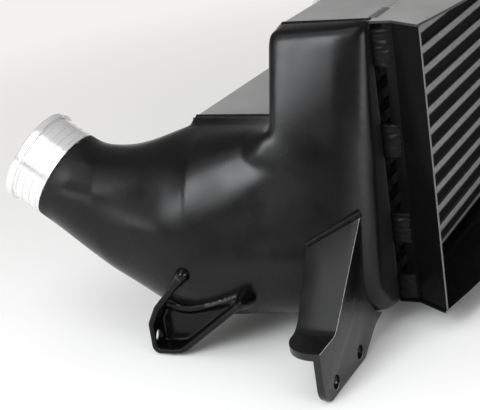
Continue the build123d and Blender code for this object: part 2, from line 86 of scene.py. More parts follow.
# ------------------------------------------------------------------- node tools
class NodeTools:
    """Short hand for wiring one node tree."""

    def __init__(self, tree: bpy.types.NodeTree) -> None:
        """Take over a tree."""
        self.tree = tree

    def node(self, kind: str, inputs: Optional[dict] = None, **values: object) -> bpy.types.Node:
        """Add a node, set its properties and feed its inputs.

        Args:
            kind: node type.
            inputs: input name or index to a socket or a constant.
            values: properties of the node.

        Returns:
            The new node.
        """
        made = self.tree.nodes.new(kind)
        for key, value in values.items():
            setattr(made, key, value)
        for key, value in (inputs or {}).items():
            if isinstance(value, Socket):
                self.tree.links.new(value, made.inputs[key])
            else:
                made.inputs[key].default_value = value
        return made

    def result(self, kind: str, inputs: Optional[dict] = None, **values: object) -> Socket:
        """Add a node in the same way and give its first output."""
        return self.node(kind, inputs, **values).outputs[0]

    def math(self, operation: str, *values: object) -> Socket:
        """Result of one maths operation on sockets or constants, given in order."""
        return self.result("ShaderNodeMath", dict(enumerate(values)), operation=operation)

    def ramp(
        self, source: Socket, low: float, high: float, start: float = PATTERN_START,
        end: float = PATTERN_END, **values: object,
    ) -> Socket:
        """Map one range of values onto another.

        Args:
            source: socket of the value.
            low: result at the start of the range.
            high: result at its end.
            start: value that gives low.
            end: value that gives high.
            values: properties of the node.

        Returns:
            The result's socket.
        """
        inputs = dict(enumerate((source, start, end, low, high)))
        return self.result("ShaderNodeMapRange", inputs, **values)

    def dot(self, source: Socket, direction: Sequence[float]) -> Socket:
        """How far a vector points along a direction."""
        inputs = {0: source, 1: direction}
        return self.node("ShaderNodeVectorMath", inputs, operation="DOT_PRODUCT").outputs["Value"]

    def part(self, source: Socket, axis: str) -> Socket:
        """One coordinate of a vector."""
        return self.node("ShaderNodeSeparateXYZ", {0: source}).outputs[axis]

    def blend(self, share: Socket, first: bpy.types.Node, second: bpy.types.Node) -> bpy.types.Node:
        """Blend of two shader nodes, from the first at share 0 to the second at 1."""
        inputs = {0: share, 1: first.outputs[0], 2: second.outputs[0]}
        return self.node("ShaderNodeMixShader", inputs)


class Shading(NodeTools):
    """Short hand for wiring one material's nodes."""

    def __init__(self, name: str, **values: object) -> None:
        """Start a fresh node material.

        Args:
            name: name of the material.
            values: constants for the shader's inputs, with spaces as underscores.
        """
        self.material = bpy.data.materials.new(name)
        self.material.use_nodes = True
        super().__init__(self.material.node_tree)
        self.surface = self.tree.nodes["Principled BSDF"]
        self.coords = self.node("ShaderNodeTexCoord").outputs
        self.place = self.coords["Object"]
        for key, value in values.items():
            self.surface.inputs[key.replace("_", " ")].default_value = value

    def wire(self, name: str, source: Socket) -> None:
        """Link a socket to one of the shader's inputs."""
        self.tree.links.new(source, self.surface.inputs[name])

    def facing(self, kind: str, axis: str) -> Socket:
        """One coordinate of the faces' normal, either the smooth or the true one."""
        return self.part(self.node("ShaderNodeNewGeometry").outputs[kind], axis)

    def noise(self, size: float, detail: float, stretch: Optional[Point] = None) -> Socket:
        """Noise on the object's own coordinates.

        Args:
            size: size of one feature in metres.
            detail: octaves of detail.
            stretch: optional scale of the coordinates.

        Returns:
            The pattern's socket.
        """
        source = self.place
        if stretch is not None:
            source = self.result("ShaderNodeMapping", {"Vector": source, "Scale": stretch})
        inputs = {"Vector": source, "Scale": 1.0 / size, "Detail": detail}
        return self.result("ShaderNodeTexNoise", inputs)

    def tint(self, pattern: Socket, dark: Sequence[float], light: Sequence[float]) -> None:
        """Blend the base colour between two colours by a pattern.

        Args:
            pattern: socket of the pattern.
            dark: colour where the pattern is low.
            light: colour where it is high.
        """
        made = self.node("ShaderNodeValToRGB", {0: pattern})
        stops = ((PATTERN_START, dark), (PATTERN_END, light))
        for stop, (place, colour) in zip(made.color_ramp.elements, stops):
            stop.position = place
            stop.color = (*colour, 1.0)
        self.wire("Base Color", made.outputs[0])

    def cover(self, share: Socket, shade: float) -> None:
        """Lay an even grey over the base colour.

        Args:
            share: how much of the grey shows, from 0 to 1.
            shade: the grey.
        """
        below = self.surface.inputs["Base Color"].links[0].from_socket
        inputs = {0: share, 6: below, 7: (shade, shade, shade, 1.0)}
        self.wire("Base Color", self.node("ShaderNodeMix", inputs, data_type="RGBA").outputs[2])

    def roughen(self, pattern: Socket, middle: float, spread: float) -> None:
        """Vary the roughness about its middle by a pattern."""
        self.wire("Roughness", self.ramp(pattern, middle - spread, middle + spread))

    def bump(self, pattern: Socket, height: float) -> None:
        """Raise the surface by a pattern whose full range has a height in metres."""
        inputs = {"Height": pattern, "Distance": height, "Strength": 1.0}
        self.wire("Normal", self.result("ShaderNodeBump", inputs))


# --------------------------------------------------------------------- finishes
@dataclass(frozen=True)
class SatinCoating:
    """Sprayed satin coating with a faint orange peel and, where given, painted shade on upright faces and
    painted highlights on faces that look forwards.
    """

    name: str
    shade: float
    roughness: float
    warmth: float = 0.0
    gloss: float = 0.5
    peel_size: float = 1.6 * MM
    peel_height: float = 0.02 * MM
    cloud_size: float = 30 * MM
    contrast: float = 0.12
    spread: float = 0.06
    # Grey for upright faces, a painted shade, and the span of the normal's height over which it fades out.
    painted_side_shade: Optional[float] = None
    painted_side_span: tuple[float, float] = (0.55, 0.85)
    # Grey for faces that look forwards, a painted highlight, and the span of the normal's forward part
    # over which it fades in.
    painted_edge_highlight: Optional[float] = None
    painted_edge_span: tuple[float, float] = (-0.85, -0.65)
    # Grey for folds that look forwards and up, a painted highlight, and the span of the normal over which
    # it fades in.
    painted_fold_highlight: Optional[float] = None
    painted_fold_span: tuple[float, float] = (0.30, 0.45)
    dry_front: Optional[float] = None
    dry_run: float = 1.5 * MM
    dry_roughness: float = 0.9
    masked_at: Optional[float] = None
    dust_runs: tuple[float, float] = (26 * MM, 4 * MM)
    dust_roughness: float = 0.55

    def cover_edges(self, made: Shading) -> None:
        """Paint shade on upright faces, and paint highlights on faces and folds that look forwards.

        Args:
            made: the material so far.
        """
        # Upright faces: painted shade.
        if self.painted_side_shade is not None:
            flatness = made.math("ABSOLUTE", made.part(made.coords["Normal"], "Z"))
            made.cover(made.ramp(flatness, 1.0, 0.0, *self.painted_side_span), self.painted_side_shade)
        # Faces that look forwards, mainly the sheets' cut edges: painted highlight.
        if self.painted_edge_highlight is not None:
            forwards = made.facing("True Normal", "Y")
            made.cover(made.ramp(forwards, 1.0, 0.0, *self.painted_edge_span), self.painted_edge_highlight)
        # Folds that look forwards and up: painted highlight.
        if self.painted_fold_highlight is not None:
            ahead = made.math("MULTIPLY", made.facing("Normal", "Y"), -1.0)
            forwards = made.ramp(ahead, 0.0, 1.0, *self.painted_fold_span)
            upwards = made.ramp(made.facing("Normal", "Z"), 0.0, 1.0, *self.painted_fold_span)
            made.cover(made.math("MULTIPLY", forwards, upwards), self.painted_fold_highlight)

    def material(self) -> bpy.types.Material:
        """Build the node material.

        Returns:
            The coating's material.
        """
        made = Shading(self.name, Specular_IOR_Level=self.gloss)
        clouds = made.noise(self.cloud_size, detail=3.0)
        colour = self.shade * np.array((1 + self.warmth, 1.0, 1 - self.warmth))
        made.tint(clouds, (1 - self.contrast) * colour, (1 + self.contrast) * colour)
        self.cover_edges(made)
        rough = made.ramp(clouds, self.roughness - self.spread, self.roughness + self.spread)
        if self.dry_front is not None:
            start, end = self.dry_front, self.dry_front - self.dry_run
            dry = made.ramp(made.part(made.place, "Y"), 0.0, self.dry_roughness, start, end)
            rough = made.math("MAXIMUM", rough, dry)
        if self.masked_at is not None:
            start, end = (self.masked_at - run for run in self.dust_runs)
            dust = made.ramp(made.dot(made.place, SPIGOT_AXIS), 0.0, self.dust_roughness, start, end)
            rough = made.math("MAXIMUM", rough, dust)
        made.wire("Roughness", rough)
        made.bump(made.noise(self.peel_size, detail=1.0), self.peel_height)
        return made.material


@dataclass(frozen=True)
class RolledMetal:
    """Rolled bar or strip, coated or bare, and black over its ends where it has a span: overspray and
    painted shade.
    """

    name: str
    shade: float
    roughness: float
    metallic: float = 0.0
    gloss: float = 0.5
    contrast: float = 0.3
    grain_size: float = 3 * MM
    grain_detail: float = 5.0
    grain_stretch: Point = (1.0, 0.15, 1.0)
    grain_height: float = 0.03 * MM
    spread: float = 0.08
    # Reach at which the black over the ends begins and is full: overspray and painted shade for the slot
    # beside the tank.
    overspray_and_shade_span: Optional[tuple[float, float]] = None
    overspray_and_shade: float = 0.002

    def material(self) -> bpy.types.Material:
        """Build the node material.

        Returns:
            The metal's material.
        """
        made = Shading(self.name, Metallic=self.metallic, Specular_IOR_Level=self.gloss)
        grain = made.noise(self.grain_size, self.grain_detail, self.grain_stretch)
        dark, light = (1 - self.contrast) * self.shade, (1 + self.contrast) * self.shade
        made.tint(grain, (dark,) * 3, (light,) * 3)
        # Black towards the ends: overspray and painted shade for the shaded slot beside the tank.
        if self.overspray_and_shade_span is not None:
            reach = made.math("ABSOLUTE", made.part(made.place, "X"))
            made.cover(made.ramp(reach, 0.0, 1.0, *self.overspray_and_shade_span), self.overspray_and_shade)
        made.roughen(grain, self.roughness, self.spread)
        made.bump(grain, self.grain_height)
        return made.material


@dataclass(frozen=True)
class CoatedWeld:
    """Satin coating over a rippled weld bead."""

    name: str
    shade: float
    roughness: float
    gloss: float = 0.3
    scale_size: float = 1.2 * MM
    scale_height: float = 0.12 * MM
    lighter: float = 1.5
    spread: float = 0.1

    def material(self) -> bpy.types.Material:
        """Build the node material.

        Returns:
            The weld's material.
        """
        made = Shading(self.name, Specular_IOR_Level=self.gloss)
        scale = made.noise(self.scale_size, detail=4.0)
        made.tint(scale, (self.shade,) * 3, (self.lighter * self.shade,) * 3)
        made.roughen(scale, self.roughness, self.spread)
        made.bump(scale, self.scale_height)
        return made.material


@dataclass(frozen=True)
class TurnedAluminium:
    """Bare aluminium with fine rings left by the lathe."""

    name: str
    shade: float
    roughness: float
    metallic: float = 0.66
    anisotropy: float = 0.35
    ring_pitch: float = 0.35 * MM
    ring_wobble: float = 0.6
    ring_height: float = 0.004 * MM
    streak_size: float = 9 * MM
    streak_darker: float = 0.94
    blue_share: float = 0.995
    spread: tuple[float, float] = (-0.03, 0.05)

    def material(self) -> bpy.types.Material:
        """Build the node material.

        Returns:
            The bare metal's material.
        """
        made = Shading(self.name, Metallic=self.metallic, Anisotropic=self.anisotropy)
        turn = {"Vector": made.place, "Rotation": (-SPIGOT_TILT, 0.0, 0.0)}
        turned = made.result("ShaderNodeMapping", turn)
        wave = {"Vector": turned, "Scale": WAVE_RUN / self.ring_pitch, "Distortion": self.ring_wobble}
        rings = made.node("ShaderNodeTexWave", wave, bands_direction="Y", wave_profile="SIN")
        streak = made.noise(self.streak_size, detail=4.0)
        light = (self.shade, self.shade, self.shade * self.blue_share)
        made.tint(streak, (self.shade * self.streak_darker,) * 3, light)
        low, high = (self.roughness + change for change in self.spread)
        made.wire("Roughness", made.ramp(streak, low, high))
        made.bump(rings.outputs["Fac"], self.ring_height)
        return made.material


def thin_coat(name: str, shade: float, roughness: float) -> RolledMetal:
    """Thin grey coat on a bar or sheet, black over its ends as overspray and painted shade.

    Args:
        name: name of the material.
        shade: its grey.
        roughness: its middle roughness.

    Returns:
        The finish.
    """
    return RolledMetal(
        name, shade, roughness, gloss=0.0, contrast=0.14, grain_size=2.4 * MM, grain_detail=4.0,
        grain_stretch=(0.25, 1.0, 1.0), grain_height=0.02 * MM, overspray_and_shade_span=(226 * MM, 242 * MM),
    )


TANK_COATING = SatinCoating(
    "tank_satin_black", 0.003, 0.285, gloss=0.25, peel_height=0.010 * MM,
    dry_front=1.4 * MM, masked_at=201.8 * MM,
)
# The bracket's folds that look forwards and up get a painted highlight.
BRACKET_COATING = SatinCoating(
    "bracket_satin_black", 0.004, 0.24, gloss=0.42, peel_height=0.03 * MM, painted_fold_highlight=0.8
)
# The guide's forward-facing faces and cut edges get a painted highlight.
GUIDE_COATING = SatinCoating("guide_satin_black", 0.003, 0.26, gloss=0.05, painted_edge_highlight=0.13)
# A darker black than the bracket's same paint: painted shade for the lug's shaded cup.
LUG_COATING = SatinCoating("lug_satin_black", 0.002, 0.20, gloss=0.20)
# Plates: light grey tops, a thin coat with a painted sky reflection, and upright faces in painted shade.
PLATE_COATING = SatinCoating("plate_thin_coat_painted_sheen", 0.21, 0.42, warmth=0.01, painted_side_shade=0.01)
BAR_COATING = thin_coat("bar_thin_coat", 0.20, 0.45)
SHEET_COATING = thin_coat("sheet_thin_coat", 0.05, 0.5)
WELD_COATING = CoatedWeld("weld_satin_black", 0.004, 0.36, 0.09)
SEAM_COATING = CoatedWeld("seam_thin_coat", 0.07, 0.30)
LUG_WELD_COATING = CoatedWeld("lug_weld_satin", 0.006, 0.22, 0.6)
FIN_COATING = RolledMetal("fin_matt_black", 0.018, 0.6, gloss=0.15)
# Header bars in black: end paint, and painted shade for the slot beside the tank.
BAR_BLACK = RolledMetal("header_bar_black", 0.005, 0.8, gloss=0.0)
BARE_FIN = RolledMetal("fin_bare", 0.6, 0.4, metallic=1.0)
BARE_SPIGOT = TurnedAluminium("spigot_turned_bare", 0.86, 0.16)
FINISHES = (
    TANK_COATING, BRACKET_COATING, GUIDE_COATING, PLATE_COATING, BAR_COATING,
    SHEET_COATING, WELD_COATING, SEAM_COATING, LUG_COATING, LUG_WELD_COATING, FIN_COATING, BARE_FIN,
    BARE_SPIGOT, BAR_BLACK,
)


# --------------------------------------------------------------------- mesh kit
def dress(
    piece: bpy.types.Object, material: bpy.types.Material, crease: Optional[float] = None
) -> None:
    """Give every face of a piece one material, and shade it smooth where a crease is given.

    Args:
        piece: mesh object.
        material: its finish.
        crease: angle in degrees above which an edge stays sharp.
    """
    mesh = piece.data
    mesh.materials.clear()
    mesh.materials.append(material)
    mesh.polygons.foreach_set("material_index", [0] * len(mesh.polygons))
    if crease is not None:
        mesh.shade_smooth()
        mesh.set_sharp_from_angle(angle=math.radians(crease))


def object_of(name: str, mesh: bpy.types.Mesh) -> bpy.types.Object:
    """Link a mesh to the scene as an object at the origin.

    Args:
        name: name of the object.
        mesh: its mesh.

    Returns:
        The new object.
    """
    made = bpy.data.objects.new(name, mesh)
    bpy.context.scene.collection.objects.link(made)
    return made


@contextmanager
def editing(
    mesh: bpy.types.Mesh, source: Optional[bpy.types.Mesh] = None
) -> Iterator[bmesh.types.BMesh]:
    """Open a mesh for editing and write the result back.

    Args:
        mesh: mesh that gets the result.
        source: mesh to start from, where it is another one.

    Yields:
        The open mesh.
    """
    work = bmesh.new()
    work.from_mesh(source or mesh)
    yield work
    work.to_mesh(mesh)
    work.free()


def settle(piece: bpy.types.Object) -> None:
    """Turn a piece's modifiers into its plain mesh.

    Args:
        piece: object with modifiers.
    """
    shown = piece.evaluated_get(bpy.context.evaluated_depsgraph_get())
    mesh = bpy.data.meshes.new_from_object(shown)
    piece.modifiers.clear()
    spent = piece.data
    piece.data = mesh
    bpy.data.meshes.remove(spent)
    mesh.name = piece.name


def remesh(piece: bpy.types.Object, voxel: float) -> None:
    """Give a piece a modifier that makes its mesh even.

    Args:
        piece: mesh object.
        voxel: size of the new faces.
    """
    even = piece.modifiers.new("even", "REMESH")
    even.mode = "VOXEL"
    even.voxel_size = voxel


def enlist(piece: bpy.types.Object, slot: str, node: str) -> None:
    """Parent a finished piece to the root and hide the imported part that it stands for.

    Args:
        piece: finished mesh object.
        slot: not used.
        node: frame node that the piece stands for.
    """
    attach(piece, "root")
    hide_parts(node)
    log.info("%s: %d faces", piece.name, len(piece.data.polygons))


def merged_copy(node: str, name: str) -> bpy.types.Object:
    """Copy a frame node's mesh with its doubled points merged.

    Args:
        node: frame node.
        name: name of the copy.

    Returns:
        The new object.
    """
    mesh = bpy.data.meshes.new(name)
    with editing(mesh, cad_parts[node].data) as work:
        bmesh.ops.remove_doubles(work, verts=work.verts, dist=DOUBLED_WITHIN)
    return object_of(name, mesh)


@dataclass(frozen=True)
class SoftEdges:
    """Frame nodes made again with broken edges, as folded and sawn metal has."""

    nodes: tuple[str, ...]
    slot: str
    finish: SatinCoating | RolledMetal
    width: float
    segments: int = 2
    flat_within: float = math.radians(0.6)
    edge_from: float = math.radians(28.0)

    def build(self, material: bpy.types.Material) -> None:
        """Make one piece for each node and hide the imported part that it stands for.

        Args:
            material: their finish.
        """
        for node in self.nodes:
            piece = merged_copy(node, f"{node}_finished")
            with editing(piece.data) as work:
                bmesh.ops.dissolve_limit(
                    work, angle_limit=self.flat_within, verts=work.verts, edges=work.edges
                )
            bevel = piece.modifiers.new("edges", "BEVEL")
            bevel.width = self.width
            bevel.segments = self.segments
            bevel.limit_method = "ANGLE"
            bevel.angle_limit = self.edge_from
            settle(piece)
            dress(piece, material, crease=40.0)
            enlist(piece, self.slot, node)


# -------------------------------------------------------------------- rear lugs
@dataclass(frozen=True)
class Filler:
    """A row of balls of filler metal at a right-hand root, in millimetres."""

    start: Point
    step: Point
    radius: float
    shrink: float = 0.0
    count: int = 9

    def balls(self) -> Iterator[tuple[Point, float]]:
        """Places of the row's balls.

        Yields:
            Centre and radius of each ball, in metres.
        """
        for index in range(self.count):
            centre = [(place + index * step) * MM for place, step in zip(self.start, self.step)]
            yield tuple(centre), (self.radius - self.shrink * index) * MM


@dataclass
class RearLug:
    """Rear lug made again with well-rounded edges, as a coated forging has.

    The filler's places and radii are in millimetres and for the right-hand lug.
    """

    end: End
    voxel: float = 0.75 * MM
    ease_factor: float = 0.5
    passes: int = 22
    roots: tuple[Filler, ...] = (
        Filler((326, 131, -56), (1.4, 0, 0), 8.2, 0.42),
        Filler((326, 89, -76.5), (1.4, 0, 0), 7.4, 0.42),
        Filler((335, 131, -56), (0, 2.1, -2.2), 6.0, 0.5),
    )
    sag_reach: float = 325
    sag_radius: float = 4.2
    sag_steps: int = 4
    sag: tuple[tuple[float, float], ...] = (
        (96, -78.5), (108, -80), (124, -84.5), (134, -86.8), (142, -87), (150, -85), (157, -83),
    )

    def fillers(self) -> Iterator[Filler]:
        """All filler, at the roots and along the sagging line under the strap.

        Yields:
            One row after another.
        """
        yield from self.roots
        for (y, z), (next_y, next_z) in zip(self.sag, self.sag[1:]):
            step = (0, (next_y - y) / self.sag_steps, (next_z - z) / self.sag_steps)
            yield Filler((self.sag_reach, y, z), step, self.sag_radius, count=self.sag_steps)

    def build(self, material: bpy.types.Material) -> None:
        """Make the piece and hide the imported lug that it stands for.

        Args:
            material: its finish.
        """
        node = f"rear_lug_{self.end.word}"
        piece = merged_copy(node, f"{node}_rounded")
        with editing(piece.data) as work:
            for filler in self.fillers():
                for centre, radius in filler.balls():
                    place = Matrix.Translation(self.end.at(centre))
                    bmesh.ops.create_icosphere(work, subdivisions=2, radius=radius, matrix=place)
        remesh(piece, self.voxel)
        ease = piece.modifiers.new("ease", "SMOOTH")
        ease.factor = self.ease_factor
        ease.iterations = self.passes
        settle(piece)
        dress(piece, material, crease=60.0)
        enlist(piece, "bracket_coating", node)


# -------------------------------------------------------------------- end tanks
@dataclass(frozen=True)
class Fade:
    """A stretch of one coordinate over which something fades in."""

    start: float
    run: float

    def share(self, values: np.ndarray) -> np.ndarray:
        """How much of the stretch each value has covered, from 0 to 1."""
        return np.clip((values - self.start) / self.run, 0.0, 1.0)

    def eased(self, values: np.ndarray) -> np.ndarray:
        """The same share with a gentle start and end."""
        share = self.share(values)
        return share * share * (3 - 2 * share)


@dataclass
class EndTank:
    """Cast end tank whose facets and seams are blended into one smooth skin.

    Depths are distances behind the core's front and levels are heights.
    """

    end: End
    voxel: float = 1.5 * MM
    quick_voxel: float = 3 * MM
    pull: float = 0.5
    passes: int = 40
    throat_passes: int = 360
    throat_in: Fade = Fade(128 * MM, 8 * MM)
    throat_out: Fade = Fade(176 * MM, 24 * MM)
    rim_guard: Fade = Fade(260.3 * MM, 5 * MM)
    spigot_guard: Fade = Fade(0.5 * MM, 9 * MM)
    skin: Fade = Fade(264 * MM, 24 * MM)
    upper_rear: float = 68 * MM
    crown: Fade = Fade(38 * MM, 64 * MM)
    crown_lean: float = 4.0 * MM
    front: Fade = Fade(0.0, 24 * MM)
    front_lean: float = 7.0 * MM
    roll_from: float = 5 * MM
    roll_drop: float = 0.68
    roll_curve: float = 80 * MM
    roll_widening: float = 0.77
    roll_limit: float = 0.45
    roll_deepest: float = 128 * MM
    roll_in: Fade = Fade(56 * MM, 20 * MM)
    roll_delay: Fade = Fade(8 * MM, 16 * MM)
    roll_out: Fade = Fade(132 * MM, 85 * MM)
    planed_lean: float = 3.0 * MM
    planed_in: Fade = Fade(126 * MM, 46 * MM)
    planed_out: Fade = Fade(146 * MM, 82 * MM)
    planed_above: Fade = Fade(-26 * MM, 28 * MM)

    def lean(self, points: np.ndarray) -> np.ndarray:
        """How far each point leans in towards the core, for the casting's crowned faces.

        Args:
            points: points as rows, in metres.

        Returns:
            One distance for each point.
        """
        reach, depth, level = np.abs(points[:, 0]), points[:, 1], points[:, 2]
        top = self.crown_lean * self.crown.share(level) ** 2 * (depth < self.upper_rear)
        front = self.front_lean * (1.0 - self.front.share(depth)) ** 2
        whole = top + front + self.rolled(depth, level) + self.planed_off(depth, level)
        return self.skin.share(reach) * whole

    def rolled(self, depth: np.ndarray, level: np.ndarray) -> np.ndarray:
        """Lean of the shoulder below the step, which rolls over towards its top.

        Args:
            depth: depth of each point.
            level: level of each point.

        Returns:
            One distance for each point.
        """
        along = np.clip(depth, self.upper_rear, self.roll_deepest) - self.upper_rear
        curve = self.roll_curve + self.roll_widening * along
        rise = np.clip(level - self.roll_from + self.roll_drop * along, 0.0, None)
        bent = rise * rise / (2 * curve)
        straight = self.roll_limit * (rise - self.roll_limit * curve / 2)
        roll = np.where(rise < self.roll_limit * curve, bent, straight)
        delay = (self.upper_rear - self.roll_in.start) * self.roll_delay.eased(level)
        return roll * self.roll_in.eased(depth - delay) * (1.0 - self.roll_out.eased(depth))

    def planed_off(self, depth: np.ndarray, level: np.ndarray) -> np.ndarray:
        """Lean that moves the corner between the outer face and the throat forwards.

        Args:
            depth: depth of each point.
            level: level of each point.

        Returns:
            One distance for each point.
        """
        left = 1.0 - self.planed_in.share(depth)
        along = (1.0 - left * left) * (1.0 - self.planed_out.eased(depth))
        return self.planed_lean * along * self.planed_above.eased(level)

    def throat_share(self, depth: np.ndarray) -> np.ndarray:
        """Where the throat gets its extra smoothing, as a share from 0 to 1."""
        return self.throat_in.share(depth) * (1.0 - self.throat_out.share(depth))

    def guard(self, points: np.ndarray) -> np.ndarray:
        """How far each point may be smoothed, from 0 at the rim and spigot to 1.

        Args:
            points: points as rows, in metres.

        Returns:
            One share for each point.
        """
        rim = self.rim_guard.share(np.abs(points[:, 0]))
        before_spigot = -(points - np.array(self.end.at(SPIGOT_CENTRE))) @ np.array(SPIGOT_AXIS)
        return rim * self.spigot_guard.share(before_spigot)

    def relax(self, mesh: bpy.types.Mesh) -> None:
        """Smooth the mesh while the rim and the spigot's seat stay put, then lean it.

        Args:
            mesh: even mesh of the tank.
        """
        count = len(mesh.vertices)
        flat = np.empty(count * 3)
        mesh.vertices.foreach_get("co", flat)
        points = flat.reshape(-1, 3)
        pairs = np.empty(len(mesh.edges) * 2, dtype=np.int64)
        mesh.edges.foreach_get("vertices", pairs)
        first, second = pairs.reshape(-1, 2).T
        valence = np.bincount(first, minlength=count) + np.bincount(second, minlength=count)
        everywhere = self.pull * self.guard(points)
        throat = everywhere * self.throat_share(points[:, 1])
        for step in range(self.passes + self.throat_passes):
            share = (everywhere if step < self.passes else throat)[:, None]
            total = np.zeros_like(points)
            for column in range(3):
                total[:, column] = np.bincount(
                    first, weights=points[second, column], minlength=count
                ) + np.bincount(second, weights=points[first, column], minlength=count)
            points = points + share * (total / valence[:, None] - points)
        points[:, 0] -= self.end.value * self.lean(points)
        mesh.vertices.foreach_set("co", points.reshape(-1))
        mesh.update()

    def build(self, material: bpy.types.Material) -> None:
        """Make the tank and hide the imported tank that it stands for.

        Args:
            material: its finish.
        """
        node = f"tank_{self.end.word}"
        piece = merged_copy(node, f"{node}_casting")
        remesh(piece, self.voxel)
        settle(piece)
        self.relax(piece.data)
        dress(piece, material, crease=50.0)
        enlist(piece, "tank_coating", node)


@dataclass
class HoseSpigot:
    """Turned tube stub with a rounded lip and fine grooves."""

    end: End
    radius: float = 35 * MM
    bore: float = 31 * MM
    sleeve: float = 32.95 * MM
    length: float = 30 * MM
    sleeve_length: float = 10 * MM
    foot_edge: float = 0.3 * MM
    bore_edge: float = 0.8 * MM
    lip_length: float = 6 * MM
    lip_height: float = 2 * MM
    lip_foot: tuple[float, float] = (0.6 * MM, 0.1 * MM)
    lip_round: float = 1.1 * MM
    lip_shift: float = 0.9 * MM
    lip_steps: int = 8
    groove_pitch: float = 6 * MM
    groove_width: float = 1.1 * MM
    groove_floor: float = 0.5
    groove_depth: float = 0.8 * MM
    groove_count: int = 4
    segments: int = 160

    def grooves(self, end: float) -> Iterator[tuple[float, float]]:
        """Corners of the grooves, as (radius, run along the axis) pairs.

        Args:
            end: run at which the last groove's pitch ends.

        Yields:
            One corner after another.
        """
        half = self.groove_width / 2
        floor = self.radius - self.groove_depth
        first = end - self.groove_pitch * self.groove_count + self.groove_pitch / 2
        for index in range(self.groove_count):
            middle = first + index * self.groove_pitch
            yield self.radius, middle - half
            yield floor, middle - half * self.groove_floor
            yield floor, middle + half * self.groove_floor
            yield self.radius, middle + half

    def lip(self, start: float) -> Iterator[tuple[float, float]]:
        """Corners of the rounded lip, as (radius, run along the axis) pairs.

        Args:
            start: run of the lip's foot.

        Yields:
            One corner after another.
        """
        top = self.radius + self.lip_height
        yield self.radius, start
        yield top - self.lip_foot[0], start + self.lip_foot[1]
        for step in range(self.lip_steps + 1):
            angle = math.pi / 2 * step / self.lip_steps
            run = self.lip_shift + (self.lip_length - self.lip_round) * math.sin(angle)
            yield top - self.lip_round * (1 - math.cos(angle)), start + run

    def profile(self) -> list[tuple[float, float]]:
        """Closed outline of the spigot's wall.

        Returns:
            Its corners in order, as (radius, run along the axis) pairs.
        """
        lip_start = self.length - self.lip_length
        return [
            (self.bore, -self.sleeve_length),
            (self.sleeve, -self.sleeve_length),
            (self.sleeve, 0.0),
            (self.radius - self.foot_edge, 0.0),
            (self.radius, self.foot_edge),
            *self.grooves(lip_start),
            *self.lip(lip_start),
            (self.bore + self.bore_edge, self.length),
            (self.bore, self.length - self.bore_edge),
        ]

    def build(self, material: bpy.types.Material) -> None:
        """Make the spigot and hide the imported spigot that it stands for.

        Args:
            material: its finish.
        """
        node = f"spigot_{self.end.word}"
        outline = self.profile()
        size = len(outline)
        axis = Vector(SPIGOT_AXIS)
        across = Vector((1.0, 0.0, 0.0))
        up = across.cross(axis)
        centre = Vector(self.end.at(SPIGOT_CENTRE))
        mesh = bpy.data.meshes.new(f"{node}_turned")
        with editing(mesh) as work:
            rings = []
            for step in range(self.segments):
                angle = 2 * math.pi * step / self.segments
                out = across * math.cos(angle) + up * math.sin(angle)
                rings.append([work.verts.new(centre + axis * run + out * r) for r, run in outline])
            for ring, following in zip(rings, rings[1:] + rings[:1]):
                for index in range(size):
                    after = (index + 1) % size
                    work.faces.new((ring[index], ring[after], following[after], following[index]))
            bmesh.ops.recalc_face_normals(work, faces=work.faces)
        piece = object_of(mesh.name, mesh)
        dress(piece, material, crease=35.0)
        enlist(piece, "bare_aluminium", node)


# ----------------------------------------------------------------- grown shapes
class ShapeTree(NodeTools):
    """Short hand for building one geometry node tree."""

    def __init__(self, name: str, **inputs: str) -> None:
        """Start a tree that takes and gives geometry.

        Args:
            name: name of the tree.
            inputs: named inputs (spaces as underscores), each with its kind of socket.
        """
        super().__init__(bpy.data.node_groups.new(name, "GeometryNodeTree"))
        sockets = self.tree.interface
        for key, kind in {"Geometry": "Geometry", **inputs, "Finish": "Material"}.items():
            sockets.new_socket(
                key.replace("_", " "), in_out="INPUT", socket_type=f"NodeSocket{kind}"
            )
        sockets.new_socket("Geometry", in_out="OUTPUT", socket_type="NodeSocketGeometry")
        self.given = self.node("NodeGroupInput").outputs

    def close(self, shape: Socket) -> None:
        """End the tree with realised instances and the finish.

        Args:
            shape: the finished geometry.
        """
        real = self.result("GeometryNodeRealizeInstances", {"Geometry": shape})
        inputs = {"Geometry": real, "Material": self.given["Finish"]}
        self.node("NodeGroupOutput", {0: self.result("GeometryNodeSetMaterial", inputs)})

    def store(self, name: str, shape: Socket, value: Socket) -> Socket:
        """Keep a value for each point of a shape.

        Args:
            name: name that the values are kept under.
            shape: geometry that carries them.
            value: what each point keeps.

        Returns:
            The geometry with its values.
        """
        inputs = {"Geometry": shape, "Name": name, "Value": value}
        return self.result(
            "GeometryNodeStoreNamedAttribute", inputs, data_type="FLOAT", domain="POINT"
        )

    def recall(self, name: str) -> Socket:
        """The value that is kept under a name."""
        return self.result("GeometryNodeInputNamedAttribute", {"Name": name})

    def grow(self, piece: bpy.types.Object, values: dict[str, object]) -> None:
        """Put the tree on a piece as a modifier.

        Args:
            piece: object that carries the modifier.
            values: input name to value.
        """
        modifier = piece.modifiers.new(self.tree.name, "NODES")
        modifier.node_group = self.tree
        for item in self.tree.interface.items_tree:
            if item.item_type == "SOCKET" and item.in_out == "INPUT" and item.name in values:
                modifier[item.identifier] = values[item.name]


